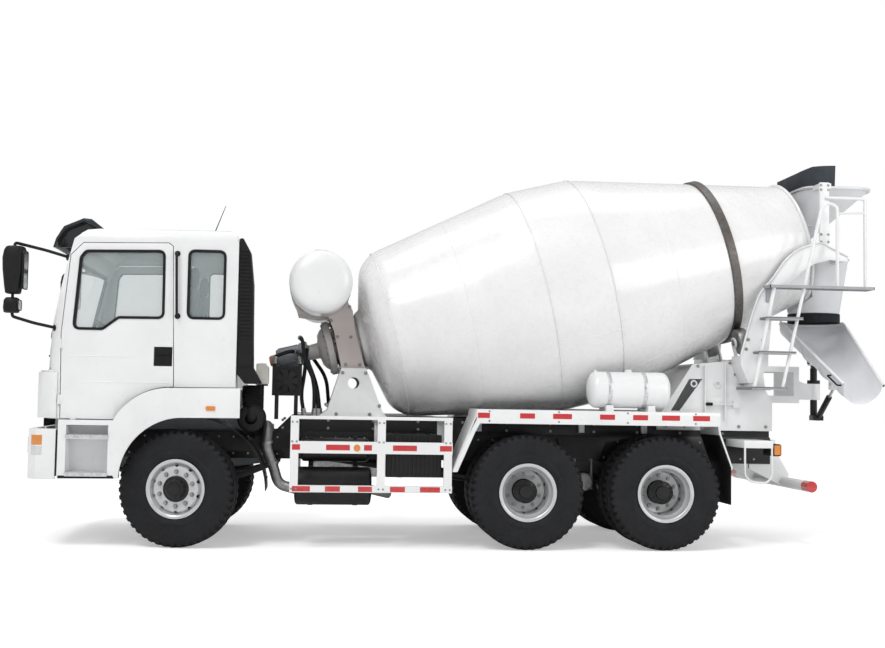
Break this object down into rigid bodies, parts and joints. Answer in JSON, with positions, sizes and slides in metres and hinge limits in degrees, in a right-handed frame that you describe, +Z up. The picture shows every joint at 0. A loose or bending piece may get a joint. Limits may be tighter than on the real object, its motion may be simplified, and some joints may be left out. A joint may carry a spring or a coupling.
{
  "type": "concrete mixer truck",
  "caption": "Cab-over tandem-axle truck with a sloping revolving mixing drum, feed hopper and swinging discharge chute",
  "frame": {"origin": "on the ground, halfway between the mirrors' front and the hopper's rear, on the truck's middle plane", "axes": "+X to the rear along the truck, +Y to the right-hand side seen by a driver, +Z up"},
  "size_m": [9.065, 2.88, 4.1],
  "materials": {
    "white_paint": "gloss white enamel",
    "grey_paint": "light grey enamel, scuffed",
    "dark_paint": "satin chassis black",
    "engine_paint": "grey casting paint",
    "bare_steel": "worn bare steel",
    "machined_iron": "rolled bright on its face",
    "black_paint": "satin black",
    "black_plastic": "grained black moulding",
    "interior_plastic": "grained dark grey",
    "rubber": "matt black rubber",
    "rim_silver": "silver wheel enamel",
    "tyre": "matt black",
    "glass": "lightly tinted",
    "lamp_lens": "clear lens over reflector"
  },
  "bodies": {
    "chassis": {"chassis_frame": "dark_paint", "subframe": "white_paint", "engine": "engine_paint", "front_axle": "dark_paint", "rear_axles": "dark_paint", "bumper": "white_paint", "headlamps": "lamp_lens", "front_fenders": "white_paint", "mudguards": "black_plastic", "air_filter": "black_plastic", "exhaust": "bare_steel", "side_guards": "white_paint", "rear_fenders": "white_paint", "side_tanks": "white_paint", "battery_and_air_tanks": "dark_paint", "front_pedestal": "white_paint", "drum_drive": "engine_paint", "water_tank": "white_paint", "oil_cooler": "dark_paint", "hydraulic_hoses": "rubber", "rear_pedestal": "white_paint", "hopper_frame": "grey_paint", "hopper": "grey_paint", "rubber_guards": "rubber", "discharge_funnel": "grey_paint", "ladder_platform": "white_paint", "underrun_bar": "white_paint"},
    "cab": {"cab_shell": "white_paint", "cab_glass": "glass", "cab_interior": "interior_plastic", "sun_visor": "black_plastic", "mirrors": "black_plastic", "air_intake": "black_plastic"},
    "door_left": {"door_left": "white_paint", "door_glass_left": "glass"},
    "door_right": {"door_right": "white_paint", "door_glass_right": "glass"},
    "knuckle_left": {"knuckle_left": "dark_paint"},
    "knuckle_right": {"knuckle_right": "dark_paint"},
    "track_rod": {"track_rod": "dark_paint"},
    "wheel_front_left": {"wheel_front_left": "rim_silver", "tyre_front_left": "tyre"},
    "wheel_front_right": {"wheel_front_right": "rim_silver", "tyre_front_right": "tyre"},
    "wheels_mid_left": {"wheels_mid_left": "rim_silver", "tyres_mid_left": "tyre"},
    "wheels_mid_right": {"wheels_mid_right": "rim_silver", "tyres_mid_right": "tyre"},
    "wheels_rear_left": {"wheels_rear_left": "rim_silver", "tyres_rear_left": "tyre"},
    "wheels_rear_right": {"wheels_rear_right": "rim_silver", "tyres_rear_right": "tyre"},
    "drum": {"drum_shell": "white_paint", "drum_ring": "bare_steel"},
    "roller_left": {"roller_left": "machined_iron"},
    "roller_right": {"roller_right": "machined_iron"},
    "chute_swivel": {"chute_swivel": "grey_paint"},
    "chute": {"chute": "grey_paint"},
    "jack_barrel": {"jack_barrel": "black_paint"},
    "jack_rod": {"jack_rod": "bare_steel"}
  },
  "joints": [
    {"name": "cab_tilt", "type": "hinge", "parent": "chassis", "child": "cab", "pos_m": [-4.1325, 0, 1], "axis": [0, -1, 0], "range_deg": [0, 60]},
    {"name": "door_left", "type": "hinge", "parent": "cab", "child": "door_left", "pos_m": [-4.0125, -1.15, 2], "axis": [0, 0, -1], "range_deg": [0, 70]},
    {"name": "door_right", "type": "hinge", "parent": "cab", "child": "door_right", "pos_m": [-4.0125, 1.15, 2], "axis": [0, 0, 1], "range_deg": [0, 70]},
    {"name": "steer_left", "type": "hinge", "parent": "chassis", "child": "knuckle_left", "pos_m": [-2.8325, -0.83, 0.57], "axis": [0, 0, 1], "range_deg": [-25.65, 44.35]},
    {"name": "steer_right", "type": "hinge", "parent": "chassis", "child": "knuckle_right", "pos_m": [-2.8325, 0.83, 0.57], "axis": [0, 0, 1], "range_deg": [-25.65, 44.35]},
    {"name": "track_rod_pivot", "type": "hinge", "parent": "knuckle_left", "child": "track_rod", "pos_m": [-2.62529, -0.86412, 0.4], "axis": [0, 0, 1], "range_deg": [-44.35, 25.65]},
    {"name": "front_wheel_left", "type": "hinge", "parent": "knuckle_left", "child": "wheel_front_left", "pos_m": [-2.86174, -1.00761, 0.57], "axis": [-0.1625, -0.9867, 0], "continuous": true},
    {"name": "front_wheel_right", "type": "hinge", "parent": "knuckle_right", "child": "wheel_front_right", "pos_m": [-2.80326, 1.00761, 0.57], "axis": [0.1625, 0.9867, 0], "continuous": true},
    {"name": "mid_wheels_left", "type": "hinge", "parent": "chassis", "child": "wheels_mid_left", "pos_m": [0.5675, -0.915, 0.57], "axis": [0, -1, 0], "continuous": true},
    {"name": "mid_wheels_right", "type": "hinge", "parent": "chassis", "child": "wheels_mid_right", "pos_m": [0.5675, 0.915, 0.57], "axis": [0, 1, 0], "continuous": true},
    {"name": "rear_wheels_left", "type": "hinge", "parent": "chassis", "child": "wheels_rear_left", "pos_m": [1.9675, -0.915, 0.57], "axis": [0, -1, 0], "continuous": true},
    {"name": "rear_wheels_right", "type": "hinge", "parent": "chassis", "child": "wheels_rear_right", "pos_m": [1.9675, 0.915, 0.57], "axis": [0, 1, 0], "continuous": true},
    {"name": "drum_spin", "type": "hinge", "parent": "chassis", "child": "drum", "pos_m": [-1.0925, 0, 2.089], "axis": [0.9703, 0, 0.2419], "continuous": true},
    {"name": "roller_left_spin", "type": "hinge", "parent": "chassis", "child": "roller_left", "pos_m": [2.98741, -0.53215, 2.15631], "axis": [0.9703, 0, 0.2419], "continuous": true},
    {"name": "roller_right_spin", "type": "hinge", "parent": "chassis", "child": "roller_right", "pos_m": [2.98741, 0.53215, 2.15631], "axis": [0.9703, 0, 0.2419], "continuous": true},
    {"name": "chute_swing", "type": "hinge", "parent": "chassis", "child": "chute_swivel", "pos_m": [4.0175, 0, 1.63], "axis": [0, 0, 1], "range_deg": [0, 180]},
    {"name": "chute_tilt", "type": "hinge", "parent": "chute_swivel", "child": "chute", "pos_m": [4.0175, 0, 1.96], "axis": [-1, 0, 0], "range_deg": [-6, 10]},
    {"name": "jack_turn", "type": "hinge", "parent": "chute_swivel", "child": "jack_barrel", "pos_m": [4.0175, -0.12, 1.34], "axis": [-1, 0, 0], "range_deg": [-2.93, 4.88]},
    {"name": "jack_slide", "type": "slide", "parent": "jack_barrel", "child": "jack_rod", "axis": [0, -0.7904, 0.6126], "range_m": [-0.0597, 0.0991]}
  ],
  "couplings": [
    {"joint": "steer_right", "follows": "steer_left", "ratio": 1},
    {"joint": "track_rod_pivot", "follows": "steer_left", "ratio": -1},
    {"joint": "roller_left_spin", "follows": "drum_spin", "ratio": -6.6},
    {"joint": "roller_right_spin", "follows": "drum_spin", "ratio": -6.6},
    {"joint": "jack_turn", "follows": "chute_tilt", "ratio": 0.487},
    {"joint": "jack_slide", "follows": "chute_tilt", "m_per_rad": 0.5651}
  ]
}
